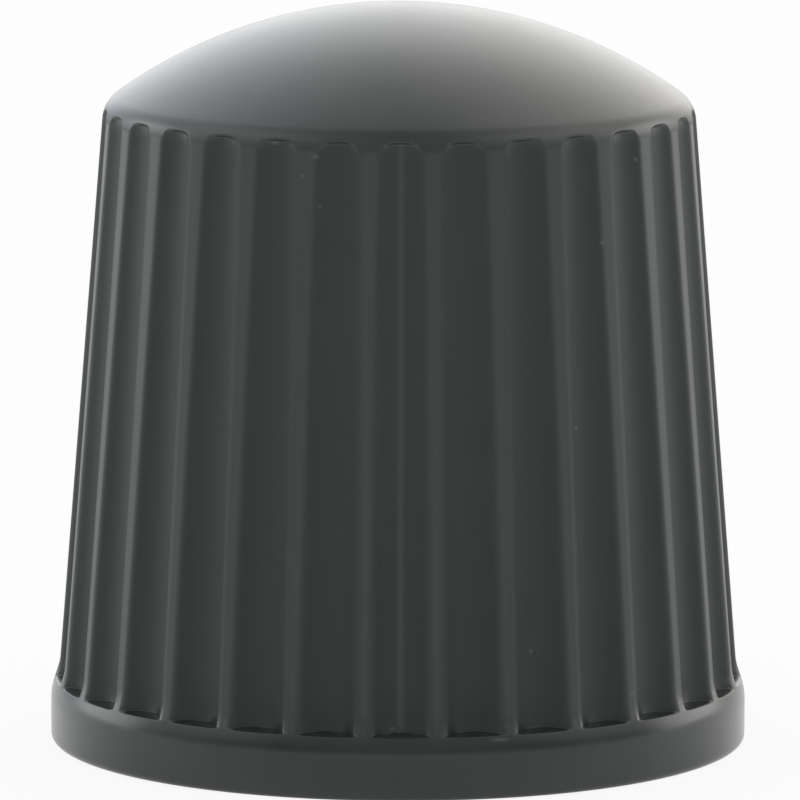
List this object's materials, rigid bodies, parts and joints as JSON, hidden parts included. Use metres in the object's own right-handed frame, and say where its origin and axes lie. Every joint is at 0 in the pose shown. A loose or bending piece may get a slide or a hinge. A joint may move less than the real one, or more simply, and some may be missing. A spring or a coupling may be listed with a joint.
{
  "type": "tyre valve cap",
  "caption": "Domed black plastic dust cap with a fluted tapered grip and a plain collar, closed at the top and threaded inside to screw onto a tyre valve stem.",
  "frame": {"origin": "centre of the open rim, on the plane that the cap stands on", "axes": "+Z along the cap's axis from the rim to the dome, -Y towards the flute with the mould's parting line, X to the right of it"},
  "size_m": [0.011, 0.011, 0.0117],
  "materials": {
    "cap_plastic": "black injection-moulded plastic with a low satin sheen"
  },
  "bodies": {
    "root": {"valve_cap": "cap_plastic"}
  },
  "joints": []
}
